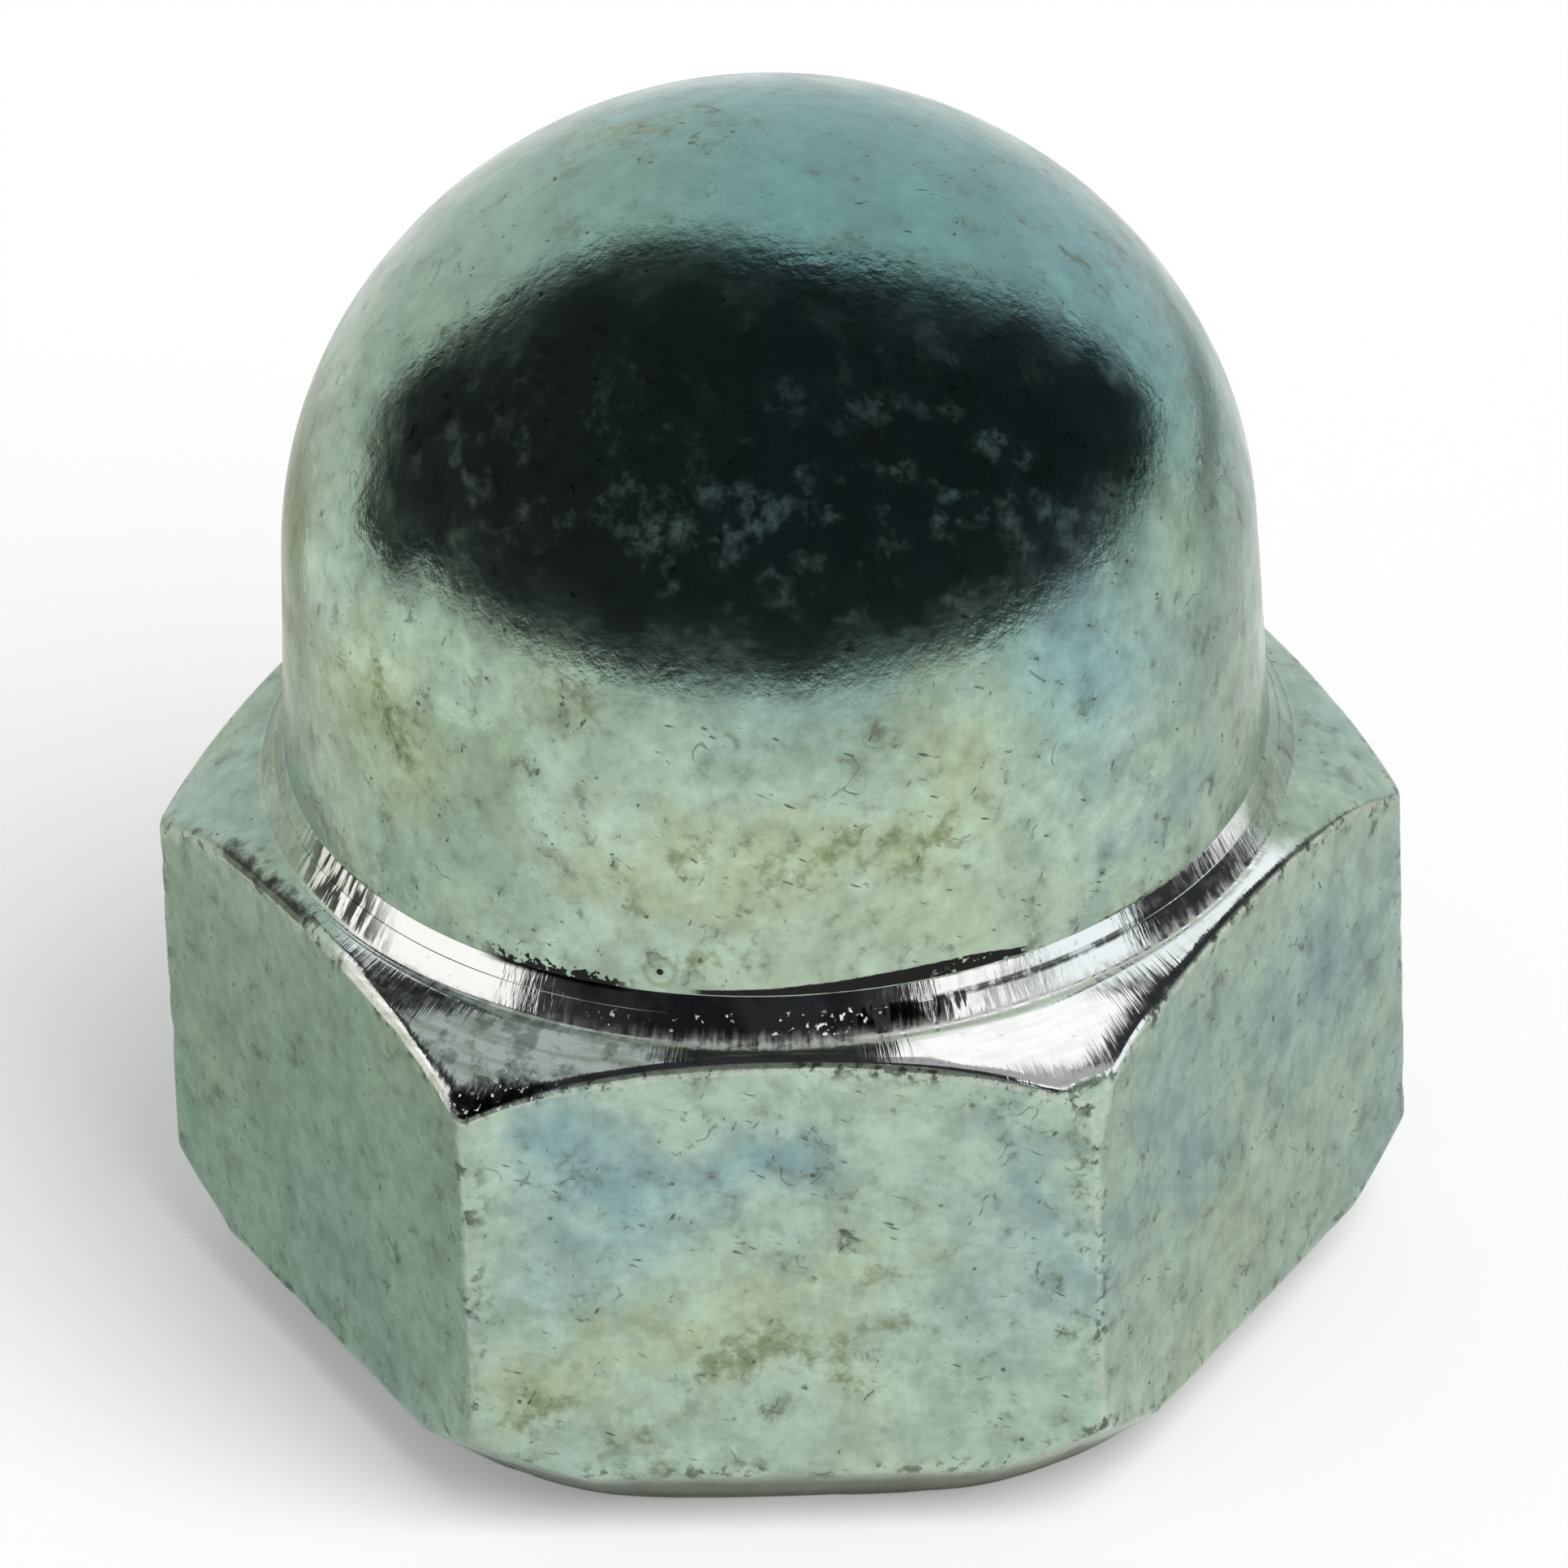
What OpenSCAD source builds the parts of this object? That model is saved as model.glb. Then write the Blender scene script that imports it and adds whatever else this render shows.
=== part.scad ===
// Domed cap nut: a hexagon and a closed cap, formed as one solid, with a blind tapped hole.
// The nut stands on its bearing face. Z is the thread's axis and the flats face -Y and +Y.

/* [Hexagon] */
// Width across the flats
across_flats = 19; // [18.5:0.5:24]
// Height of the hexagon, from the bearing face up to its shoulder
hex_h = 10; // [8:0.5:12]
// Radius of the six upright edges
edge_r = 0.35; // [0.2:0.05:0.8]
// How far the top bevel reaches in over the middle of each flat
bevel_in = 0.3; // [0.1:0.05:0.6]
// Slope of the top bevel, measured from the shoulder
bevel_deg = 30; // [15:1:40]
// How far the foot bevel reaches in under each flat
foot_in = 1.05; // [0.4:0.05:1.4]
// Height of the foot bevel on each flat
foot_rise = 1.25; // [0.5:0.05:2]
// Diameter at which the cone that trims the six foot corners meets the bearing face
foot_corner_d = 17.8; // [17.2:0.1:18.6]
// Slope of that cone, measured from the bearing face
foot_corner_deg = 45; // [25:1:48]

/* [Cap] */
// Overall height of the nut
height = 22.5; // [21.5:0.5:28]
// Diameter of the cap where its side turns into the dome
cap_d = 17; // [15.5:0.1:17.2]
// Taper of the cap's side, on each side
cap_taper_deg = 2.2; // [0:0.1:3]
// Radius of the dome over the crown
crown_r = 8.65; // [8.6:0.05:14]
// Radius of the dome where it meets the side
haunch_r = 7.4; // [4:0.1:7.7]
// Height of the conical flare at the foot of the cap
flare_h = 0.7; // [0.4:0.05:1]
// How far the flare spreads out over the shoulder
flare_out = 0.45; // [0.2:0.05:0.5]

/* [Thread hole] */
// Diameter of the hole before it is tapped
tap_d = 10.2; // [8.4:0.1:10.6]
// Depth of the hole at its full diameter
hole_depth = 17; // [14:0.5:18]
// Included angle of the hole's conical end
point_deg = 118; // [100:1:150]
// Diameter of the countersink at the mouth
mouth_d = 12.9; // [12.2:0.1:13.4]
// Included angle of the countersink
mouth_deg = 120; // [90:5:130]

/* [Hidden] */
$fn = 128;
// Zinc plate with a pale green passivated film
zinc_plate = [0.64, 0.70, 0.65];
// Extra length by which a trimming shape overruns the solid
overrun = 2;
// Small overlap where one arc runs into the next without a visible corner
lap = 0.005;
// Angle at which the arc of an upright edge meets the flats beside it
edge_lip_deg = 11;

flat_r = across_flats / 2;
corner_r = flat_r / cos(30);
edge_in = edge_r * cos(edge_lip_deg);
edge_centre_r = (flat_r - edge_in) / cos(30);
bevel_r = flat_r - bevel_in;
bevel_drop = (corner_r - bevel_r) * tan(bevel_deg);
bearing_r = flat_r - foot_in;
foot_corner_r = foot_corner_d / 2;
foot_corner_rise = (corner_r - foot_corner_r) * tan(foot_corner_deg);

// The dome is two arcs that meet without a corner: the haunch, tangent to the side, and the crown.
cap_r = cap_d / 2;
haunch = min(haunch_r, cap_r);
crown = max(crown_r, cap_r);
haunch_x = cap_r - haunch;
crown_z = height - crown;
haunch_z = crown_z + sqrt(pow(crown - haunch, 2) - pow(haunch_x, 2));
// Angle above level at which the crown takes over from the haunch
crown_from = atan2(haunch_z - crown_z, haunch_x);
side_top = [haunch_x + haunch * cos(cap_taper_deg), haunch_z + haunch * sin(cap_taper_deg)];
// Radius of the cap's tapered side at height z
function side_r(z) = side_top[0] + (side_top[1] - z) * tan(cap_taper_deg);
// The flare leaves the side here and runs on, unseen, down into the hexagon.
flare_top = [side_r(hex_h + flare_h), hex_h + flare_h];
flare_end = flare_top + (flare_h + overrun) * [flare_out / flare_h, -1];

tap_r = tap_d / 2;
mouth_r = mouth_d / 2;
mouth_depth = (mouth_r - tap_r) / tan(mouth_deg / 2);
point_depth = tap_r / tan(point_deg / 2);

// Half section of the cap's flare and tapered side, carried up past the dome and down into the hexagon
module side_section() {
    polygon([
        [0, flare_end[1]],
        flare_end,
        flare_top,
        [side_r(height), height],
        [0, height]
    ]);
}

// Half section of all that lies under the crown's arc
module crown_section() {
    translate([0, crown_z]) circle(r = crown);
    square([corner_r, haunch_z]);
}

// Half section of all that lies inside the haunch's arc
module haunch_section() {
    translate([haunch_x, haunch_z]) circle(r = haunch + lap);
    square([crown * cos(crown_from), height]);
    square([corner_r, side_top[1]]);
}

// Half section of the cap
module cap_section() {
    intersection() {
        side_section();
        crown_section();
        haunch_section();
    }
}

// Half section of the hexagon's turned outline: bearing face, corner cones and shoulder
module hexagon_section() {
    polygon([
        [0, 0],
        [foot_corner_r, 0],
        [corner_r, foot_corner_rise],
        [corner_r, hex_h - bevel_drop],
        [bevel_r, hex_h],
        [0, hex_h]
    ]);
}

// Half section of the blind hole with its countersunk mouth and conical end
module hole_section() {
    polygon([
        [0, -overrun],
        [mouth_r + overrun * tan(mouth_deg / 2), -overrun],
        [tap_r, mouth_depth],
        [tap_r, hole_depth],
        [0, hole_depth + point_depth]
    ]);
}

// What is trimmed off one corner of the hexagonal bar to round its upright edge
module edge_trim() {
    difference() {
        translate([edge_centre_r + edge_in * cos(30), -overrun])
            square([overrun, 2 * overrun]);
        translate([edge_centre_r, 0]) circle(r = edge_r);
    }
}

// Hexagonal bar with rounded upright edges
module hexagon_bar() {
    translate([0, 0, -overrun])
        linear_extrude(height + 2 * overrun)
            difference() {
                circle(r = corner_r, $fn = 6);
                for (corner = [0:60:300])
                    rotate(corner) edge_trim();
            }
}

// Slab whose lower long edges carry the foot bevel of one pair of flats
module foot_slab() {
    lean = foot_in / foot_rise;
    low_w = bearing_r - overrun * lean;
    high_w = bearing_r + (height + overrun) * lean;
    rotate([90, 0, 90])
        linear_extrude(2 * (corner_r + overrun), center = true)
            polygon([
                [-low_w, -overrun],
                [low_w, -overrun],
                [high_w, height + overrun],
                [-high_w, height + overrun]
            ]);
}

module cap_nut() {
    color(zinc_plate)
        intersection() {
            rotate_extrude()
                difference() {
                    union() {
                        hexagon_section();
                        cap_section();
                    }
                    hole_section();
                }
            hexagon_bar();
            intersection_for (turn = [0:60:120])
                rotate(turn) foot_slab();
        }
}

cap_nut();
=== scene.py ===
"""Domed cap nut with a green passivated zinc plate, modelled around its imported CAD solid."""

import math

import bmesh
import bpy
from bpy.props import FloatProperty, FloatVectorProperty, PointerProperty
from mathutils import Matrix, Vector, kdtree, noise


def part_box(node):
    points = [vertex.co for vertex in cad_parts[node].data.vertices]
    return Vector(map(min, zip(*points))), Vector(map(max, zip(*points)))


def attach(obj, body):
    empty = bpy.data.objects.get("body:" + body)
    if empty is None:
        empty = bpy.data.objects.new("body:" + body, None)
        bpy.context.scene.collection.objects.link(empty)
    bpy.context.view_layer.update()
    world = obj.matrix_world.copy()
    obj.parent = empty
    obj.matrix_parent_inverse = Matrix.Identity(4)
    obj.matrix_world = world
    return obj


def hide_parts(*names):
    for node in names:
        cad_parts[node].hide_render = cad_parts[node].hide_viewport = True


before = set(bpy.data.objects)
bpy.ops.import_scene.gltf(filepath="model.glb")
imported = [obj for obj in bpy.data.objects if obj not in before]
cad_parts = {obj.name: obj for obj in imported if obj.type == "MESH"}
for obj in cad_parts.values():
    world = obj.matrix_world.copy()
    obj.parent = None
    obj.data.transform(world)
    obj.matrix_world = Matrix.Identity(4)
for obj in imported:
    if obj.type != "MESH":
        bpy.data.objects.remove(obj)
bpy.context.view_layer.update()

bl_info = {
    "name": "Domed Cap Nut",
    "version": (1, 0, 0),
    "blender": (4, 5, 0),
    "location": "3D View > Sidebar > Cap Nut",
    "description": "Forges a zinc plated domed cap nut and sets up a small studio for it",
    "category": "Add Mesh",
}

NODE = "cap_nut"
BODY = "root"
NUT_LOW, NUT_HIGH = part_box(NODE)

MM = 0.001
FRONT = math.radians(-90)
HALF_SECTOR = math.radians(30)
SHARP_ANGLE = math.radians(38)

# Steps round the axis
FLAT_STEPS = 20
EDGE_STEPS = 4
SECTOR_STEPS = 2 * (FLAT_STEPS + EDGE_STEPS)
SPIN_STEPS = 6 * SECTOR_STEPS
THREAD_STEPS = 120
# Turns by which the tap starts below the bearing face
TAP_LEAD = 2
# Distances in metres within which vertices are one
WELD = 1e-8
TAP_WELD = 1e-7

# Steps along each stretch of the half section
POINT_STEPS = 4
MOUTH_STEPS = 3
BEARING_STEPS = 8
FOOT_ARC_STEPS = 5
FOOT_STEPS = 6
FLAT_ROWS = 34
RIM_STEPS = 6
BEVEL_STEPS = 12
FLARE_STEPS = 5
LIP_STEPS = 4
SIDE_STEPS = 30
HAUNCH_STEPS = 14
CROWN_STEPS = 36

# How far a stretch of the half section counts as a worn rim, from 0 to 1
TOE_WEAR = 0.6
FOOT_WEAR = 0.2
HEEL_WEAR = 0.75
RIM_TOP_WEAR = 0.8
LIP_WEAR = 0.5
EDGE_WEAR = 0.6

# Fine sizes in millimetres
WEAR_REACH = 0.3
FOOT_BLEND = 0.5
TAP_UNDERSIZE = 0.06
HOLE_MARGIN = 0.05
MOUTH_MARGIN = 0.2
# Share of the flare's height at which the turned step lies
LEDGE_AT = 0.58
# The blunted corner: its angle round the axis, tilt, start below the edge and lower end in millimetres
BLUNT_AT = math.radians(-60)
BLUNT_TILT = math.radians(14)
BLUNT_FROM = 0.06
BLUNT_LOW = 8.0
# Unevenness of the plated faces: noise cells in a millimetre, their shares, and what turned zinc loses
WAVE_CELLS, RIPPLE_CELLS, CHIP_CELLS = 0.55, 1.5, 1.9
WAVE_MEAN, WAVE_SHARE, RIPPLE_SHARE = 0.5, 0.35, 0.15
TURNED_CALM = 0.85
CHIP_FROM = 0.12
CHIP_SHIFT = Vector((7, 3, 1))

# Marks in the film, each from one place to another in millimetres, with its reach and its strength
FILM_MARKS = {
    "blue": (
        ((-3.9, -9.5, 8.2), (-2.6, -9.5, 7.2), 2.0, 0.8),
        ((-1.2, -9.5, 7.6), (0.0, -9.5, 7.9), 1.6, 0.65),
        ((4.2, -9.5, 7.6), (5.2, -9.5, 5.2), 1.6, 0.4),
        ((5.0, -6.9, 16.4), (6.2, -5.8, 14.9), 1.7, 0.6),
        ((5.6, -6.6, 11.8), (7.2, -4.9, 12.2), 1.5, 0.4),
        ((6.6, -7.6, 7.6), (7.2, -6.5, 5.4), 1.8, 0.5),
        ((8.8, -3.8, 7.4), (9.8, -2.0, 6.2), 2.4, 0.5),
    ),
    "yellow": (
        ((-2.4, -8.2, 13.0), (1.0, -8.5, 13.6), 2.1, 0.6),
        ((2.6, -8.1, 13.4), (3.8, -7.7, 15.4), 2.0, 0.6),
        ((-6.8, -5.2, 15.0), (-6.0, -6.0, 13.6), 1.7, 0.5),
        ((-4.4, -9.5, 3.0), (-1.0, -9.5, 4.6), 2.2, 0.6),
        ((0.4, -9.5, 5.0), (1.8, -9.5, 6.2), 1.7, 0.5),
    ),
    "stain": (
        ((-1.05, -9.5, 3.5), (-0.2, -9.5, 4.05), 0.55, 0.8),
        ((1.7, -9.5, 4.4), (2.6, -9.5, 4.35), 0.4, 0.4),
        ((1.6, -9.5, 5.45), (2.0, -9.5, 5.6), 0.4, 0.45),
        ((0.65, -9.5, 3.3), (1.1, -9.5, 3.15), 0.4, 0.45),
        ((-2.65, -9.5, 2.4), (-2.2, -9.5, 1.6), 0.35, 0.5),
        ((-4.9, -9.5, 2.4), (-4.1, -9.5, 2.9), 0.35, 0.4),
        ((0.1, -9.5, 3.6), (0.95, -9.5, 4.15), 0.35, 0.45),
        ((-1.6, -8.4, 13.4), (-1.2, -8.5, 13.6), 0.4, 0.55),
        ((-0.1, -8.6, 13.4), (0.4, -8.6, 12.9), 0.45, 0.55),
        ((0.7, -8.6, 13.1), (1.6, -8.4, 13.9), 0.35, 0.5),
        ((2.1, -8.3, 13.3), (3.1, -8.0, 13.5), 0.55, 0.4),
        ((-1.5, -8.5, 11.3), (-0.5, -8.6, 11.7), 0.28, 0.5),
        ((-6.9, -5.2, 15.2), (-6.3, -5.9, 13.9), 0.55, 0.45),
        ((1.2, -8.5, 15.9), (1.8, -8.4, 15.8), 0.4, 0.45),
        ((-4.0, -7.6, 16.7), (-3.0, -8.0, 16.2), 0.45, 0.45),
        ((-3.0, 1.6, 21.9), (-1.8, 1.0, 22.3), 0.5, 0.5),
    ),
    # Painted dark reflection over the turned zinc of the left corner
    "painted_dark_reflection": (
        ((-9.7, -2.2, 9.65), (-8.3, -4.55, 9.8), 0.45, 0.95),
        ((-5.3, -9.3, 8.9), (-4.3, -9.4, 9.2), 0.7, 0.9),
    ),
}
# Depth given to a place that lies in no mark
UNMARKED = -0.5

# Where the finish changes. Each pair is where a change starts and where it is complete, in millimetres,
# and two pairs are the soft ends of one stretch.
# Heights
DOME_FILM = (13.5, 19.0)
YELLOW_TOP = (19.0, 16.0)
CALM_DOME = (17.0, 21.0)
SCUFFED = ((21.0, 19.0), (16.5, 18.0))
MATT_TOP = (14.5, 9.5)
BUMP_TOP = (12.5, 15.0)
FLARE_FOOT = (10.02, 10.1)
LAP_TOP = (10.75, 10.72)
LAP_FOOT = (10.705, 10.72)
TORN_EDGE = (10.7, 10.96)
TEETH_FOOT = (10.6, 10.68)
# Painted shade with an olive grime tint round the foot, in two stretches down to the bottom
GRIME_AND_SHADE_HIGH = (1.5, 0.9)
GRIME_AND_SHADE_LOW = (0.8, 0.25)
# Places across the nut, from its left to its right
DOME_SIDES = (-6.0, 1.0)
FLARE_LEFT = (-8.6, -7.8)
BEVEL_LEFT = (-7.4, -6.9)
STREAKED_LEFT = (-6.4, -7.2)
FLECKS_LEFT = (-6.4, -6.0)
WORN_LEFT = (-5.2, -5.8)
TEETH_ENDS = ((-5.2, -4.6), (-2.2, -2.8))
# Where the painted dark reflection darkens the front middle of the flare
FRONT_DARK_ENDS = ((-3.9, -2.9), (1.8, 1.0))
SPECKS_ENDS = ((-3.9, -2.9), (2.2, 1.6))
RING_FAINT = (-3.6, -0.6)
MOTTLED = (0.5, -2.0)
SCORED = (1.5, -1.0)
LAP_ENDS = ((-1.5, -1.2), (4.5, 4.2))
LAP_RISE = (-1.6, 3.0)
LAP_FALL = (4.8, 3.2)
LAP_WHOLE = (3.0, 2.6)
SPECKS_RARE = (1.1, 0.3)
BARS_ENDS = ((0.9, 1.5), (4.2, 3.2))
STEP_ENDS = ((2.6, 3.6), (7.0, 6.0))
# Places from front to back
FRONT_SIDE = (0.0, -1.0)
BARE_BACK = (-0.8, -2.6)
# Distances from the axis
# The painted shade of the foot begins outside the bearing face
GRIME_AND_SHADE_INNER = (8.25, 8.6)
# The worn ring with its painted highlight lies between these
RING_INNER = (9.08, 9.3)
RING_OUTER = (9.34, 9.26)
# The blister's middle, and distances from it
BLISTER_AT = (-1.95, -8.42, 11.1)
BLISTER_RING = ((0.17, 0.26), (0.36, 0.27))
BLISTER_DOT = (0.08, 0.05)
# Height of the flare's turned step, and distances from it
STEP_LINE = 10.42
STEP_DARK = (0.07, 0.03)
STEP_ABOVE = 0.06
# Streaks of the flare: how many lie in one radian round the axis, and how soon they change with height
STREAKS = 65
STREAK_RISE = 1.2
# Lathe marks of the bevel: how many lie in a millimetre outwards, and how soon they change across
LATHE_MARKS = 7.0
LATHE_ACROSS = 0.9
# Depth of the plate's fine unevenness, in millimetres
BUMP_DEPTH = 0.025


def length(name, about, millimetres):
    """A property for a length, with its default given in millimetres."""
    return FloatProperty(
        name=name,
        description=about,
        default=millimetres * MM,
        min=0.0,
        precision=5,
        subtype="DISTANCE",
        unit="LENGTH",
    )


def angle(name, about, degrees):
    """A property for an angle, with its default given in degrees."""
    return FloatProperty(
        name=name,
        description=about,
        default=math.radians(degrees),
        subtype="ANGLE",
        unit="ROTATION",
    )


def colour(name, about, *rgb):
    """A property for a linear colour."""
    return FloatVectorProperty(
        name=name,
        description=about,
        default=rgb,
        min=0.0,
        max=1.0,
        size=3,
        subtype="COLOR",
    )


def share(name, about, default):
    """A property for a plain factor."""
    return FloatProperty(name=name, description=about, default=default, subtype="FACTOR")


class NutSizes(bpy.types.PropertyGroup):
    """Sizes of the nut."""

    across_flats: length(
        "Across flats", "Width between two opposite flats", (NUT_HIGH.y - NUT_LOW.y) / MM
    )
    height: length("Height", "Overall height of the nut", NUT_HIGH.z / MM)
    hexagon_h: length("Hexagon height", "From the bearing face up to the shoulder", 10.0)
    edge_r: length("Upright edge radius", "Rounding of the six upright edges", 0.35)
    rim_r: length("Rim radius", "Rounding between a flat and the top bevel", 0.32)
    mouth_rim_r: length("Mouth rim radius", "Rounding of the countersink's edges", 0.2)
    foot_r: length("Foot radius", "Rounding above and below the foot bevel", 0.28)
    bevel_in: length("Top bevel", "How far the bevel reaches in over a flat", 0.3)
    bevel_inner: angle("Bevel slope inside", "Slope of the bevel at the shoulder", 20)
    bevel_outer: angle("Bevel slope outside", "Slope of the bevel at the corners", 48)
    foot_in: length("Foot bevel", "How far the foot bevel reaches in under a flat", 1.05)
    foot_rise: length("Foot bevel height", "Height of the foot bevel on a flat", 1.25)
    foot_corner: length("Foot corner radius", "Radius of the bearing face at the corners", 8.9)
    cap_r: length("Cap radius", "Radius of the cap where its side turns into the dome", 8.5)
    cap_taper: angle("Cap taper", "Taper of the cap's side", 2.2)
    crown_r: length("Crown radius", "Radius of the dome over the crown", 8.65)
    haunch_r: length("Haunch radius", "Radius of the dome where it meets the side", 7.4)
    flare_h: length("Flare height", "Height of the conical flare at the foot of the cap", 0.7)
    flare_out: length("Flare spread", "How far the flare spreads over the shoulder", 0.45)
    flare_r: length("Flare fillet", "Fillet between the flare and the shoulder", 0.12)
    ledge: length("Ledge", "Width of the fine step that turning left in the flare", 0.025)
    lip_r: length("Lip radius", "Rounding between the flare and the cap's side", 0.05)
    tap_r: length("Hole radius", "Radius of the hole before it is tapped", 5.1)
    hole_depth: length("Hole depth", "Depth of the hole at its full radius", 17.0)
    point_depth: length("Point depth", "Depth of the hole's conical end", 3.064)
    mouth_r: length("Mouth radius", "Radius of the countersink", 6.45)
    mouth_depth: length("Mouth depth", "Depth of the countersink", 0.779)
    thread_r: length("Thread radius", "Radius to the bottom of the thread", 6.0)
    thread_pitch: length("Thread pitch", "Rise of the thread in one turn", 1.75)
    thread_top: length("Thread depth", "How deep the thread runs", 15.4)
    waviness: length("Waviness", "Unevenness of the plated faces", 0.016)
    dent: length("Edge dents", "Depth of the dents along the edges", 0.07)


class NutFinish(bpy.types.PropertyGroup):
    """Colours and gloss of the zinc plate."""

    film: colour("Film", "Pale green passivated film", 0.385, 0.50, 0.405)
    yellow: colour("Yellow film", "Thicker film that turns yellow", 0.42, 0.50, 0.30)
    blue: colour("Blue film", "Thinner film that turns blue", 0.235, 0.385, 0.41)
    dome: colour("Dome film", "Film over the top of the dome", 0.172, 0.308, 0.286)
    dome_left: colour("Dome film left", "Yellower film over the left of the dome", 0.262, 0.36, 0.276)
    stain: colour("Stain", "Olive stains in the film", 0.20, 0.235, 0.11)
    # Also darkens the film over the turned bevel and flare as painted shade
    smudge_and_shade: colour("Smudge", "Soft grey-green smudges in the film", 0.15, 0.185, 0.13)
    # Painted shade: this dark olive stands in for the shade under the foot, with an olive grime tint
    grime_and_shade: colour("Grime", "Olive grime round the foot", 0.075, 0.075, 0.04)
    scar: colour("Scar", "Dark nicks and scratches", 0.05, 0.06, 0.045)
    # Also the near-black of the painted dark reflection at the left corner
    crack_and_dark_reflection: colour("Crack", "Open lap under the film", 0.012, 0.012, 0.011)
    bare: colour("Bare zinc", "Bright zinc of the flare and the bevel", 0.90, 0.91, 0.90)
    # Painted reflection: this near-black stands in for the dark room that the flare and bevel mirror
    painted_dark_reflection: colour("Soot", "Dark deposit in the streaks of the flare", 0.05, 0.055, 0.05)
    # Also the light colour of the painted highlight on the ring at the flare's foot
    worn: colour("Worn zinc", "Zinc where an edge has lost its film", 0.56, 0.60, 0.53)
    inside: colour("Hole", "Plate inside the hole", 0.34, 0.36, 0.33)
    film_rough: share("Film roughness", "Roughness of the film", 0.19)
    bare_rough: share("Bare roughness", "Roughness of the bright zinc", 0.1)


class StudioSetup(bpy.types.PropertyGroup):
    """Camera, floor and light."""

    azimuth: angle("Camera azimuth", "Turn of the camera round the nut", 1.3346)
    elevation: angle("Camera elevation", "Height of the camera above level", 33.3566)
    roll: angle("Camera roll", "Tilt of the camera about its own axis", -2.0993)
    distance: length("Camera distance", "From the camera to the point it looks at", 309.07)
    aim_x: length("Aim across", "Sideways place of the point the camera looks at", 0.0986)
    aim_z: length("Aim height", "Height of the point the camera looks at", 9.355)
    lens: FloatProperty(
        name="Lens", description="Focal length of the lens", default=404.1, unit="CAMERA"
    )
    floor: colour("Floor", "Colour of the floor", 0.9, 0.9, 0.9)
    backdrop: colour("Backdrop", "Colour of the board behind the nut", 0.92, 0.98, 1.0)
    dark: colour("Dark room", "Unlit room above and before the nut", 0.025, 0.026, 0.028)
    sun: FloatProperty(
        name="Key light", description="Strength of the soft key light", default=1.9
    )
    sun_spread: angle("Key spread", "Width of the soft key light", 45)
    fill: share("Fill light", "Strength of the light from all round", 0.35)
    glow: share("Floor glow", "Light that the floor adds to reach white", 0.25)


# The half section of the nut: points that run from the hole's end to the crown, with the metal on
# their left


def spread(start, end, steps):
    """Values from start to end, packed closer at both ends."""
    return [
        start + (end - start) * (1 - math.cos(math.pi * i / steps)) / 2
        for i in range(steps + 1)
    ]


def even(start, end, steps):
    """Evenly spaced values from start to end."""
    return [start + (end - start) * i / steps for i in range(steps + 1)]


def heading(radians):
    """Unit vector at an angle."""
    return Vector((math.cos(radians), math.sin(radians)))


def rounded(corner, before, after, radius, steps):
    """Points of the arc that rounds an outer corner, between the headings before and after it."""
    cut = radius * math.tan((after - before) / 2)
    start = corner - cut * heading(before)
    centre = start + radius * heading(before + math.pi / 2)
    return [
        centre + radius * heading(turn - math.pi / 2) for turn in even(before, after, steps)
    ]


def straight(start, end, steps):
    """Points between two places, without the places themselves, packed closer at both ends."""
    return [start.lerp(end, t) for t in spread(0, 1, steps)[1:-1]]


def soft_min(a, b, width):
    """The smaller of two lengths, with a rounded change from one to the other."""
    blend = max(width - abs(a - b), 0) / width
    return min(a, b) - blend * blend * width / 4


def hexagon_reach(s, turn):
    """Distance from the axis to the hexagon's outline, at an angle from the middle of a flat."""
    flat_r = s.across_flats / 2
    centre = (flat_r - s.edge_r) / math.cos(HALF_SECTOR)
    from_corner = HALF_SECTOR - abs(turn)
    if from_corner >= edge_blend(s):
        return flat_r / math.cos(turn)
    across = centre * math.sin(from_corner)
    return centre * math.cos(from_corner) + math.sqrt(s.edge_r**2 - across**2)


def edge_blend(s):
    """Angle at the axis over which half of an upright edge is rounded."""
    centre = (s.across_flats / 2 - s.edge_r) / math.cos(HALF_SECTOR)
    return math.atan2(
        s.edge_r * math.sin(HALF_SECTOR), centre + s.edge_r * math.cos(HALF_SECTOR)
    )


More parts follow.
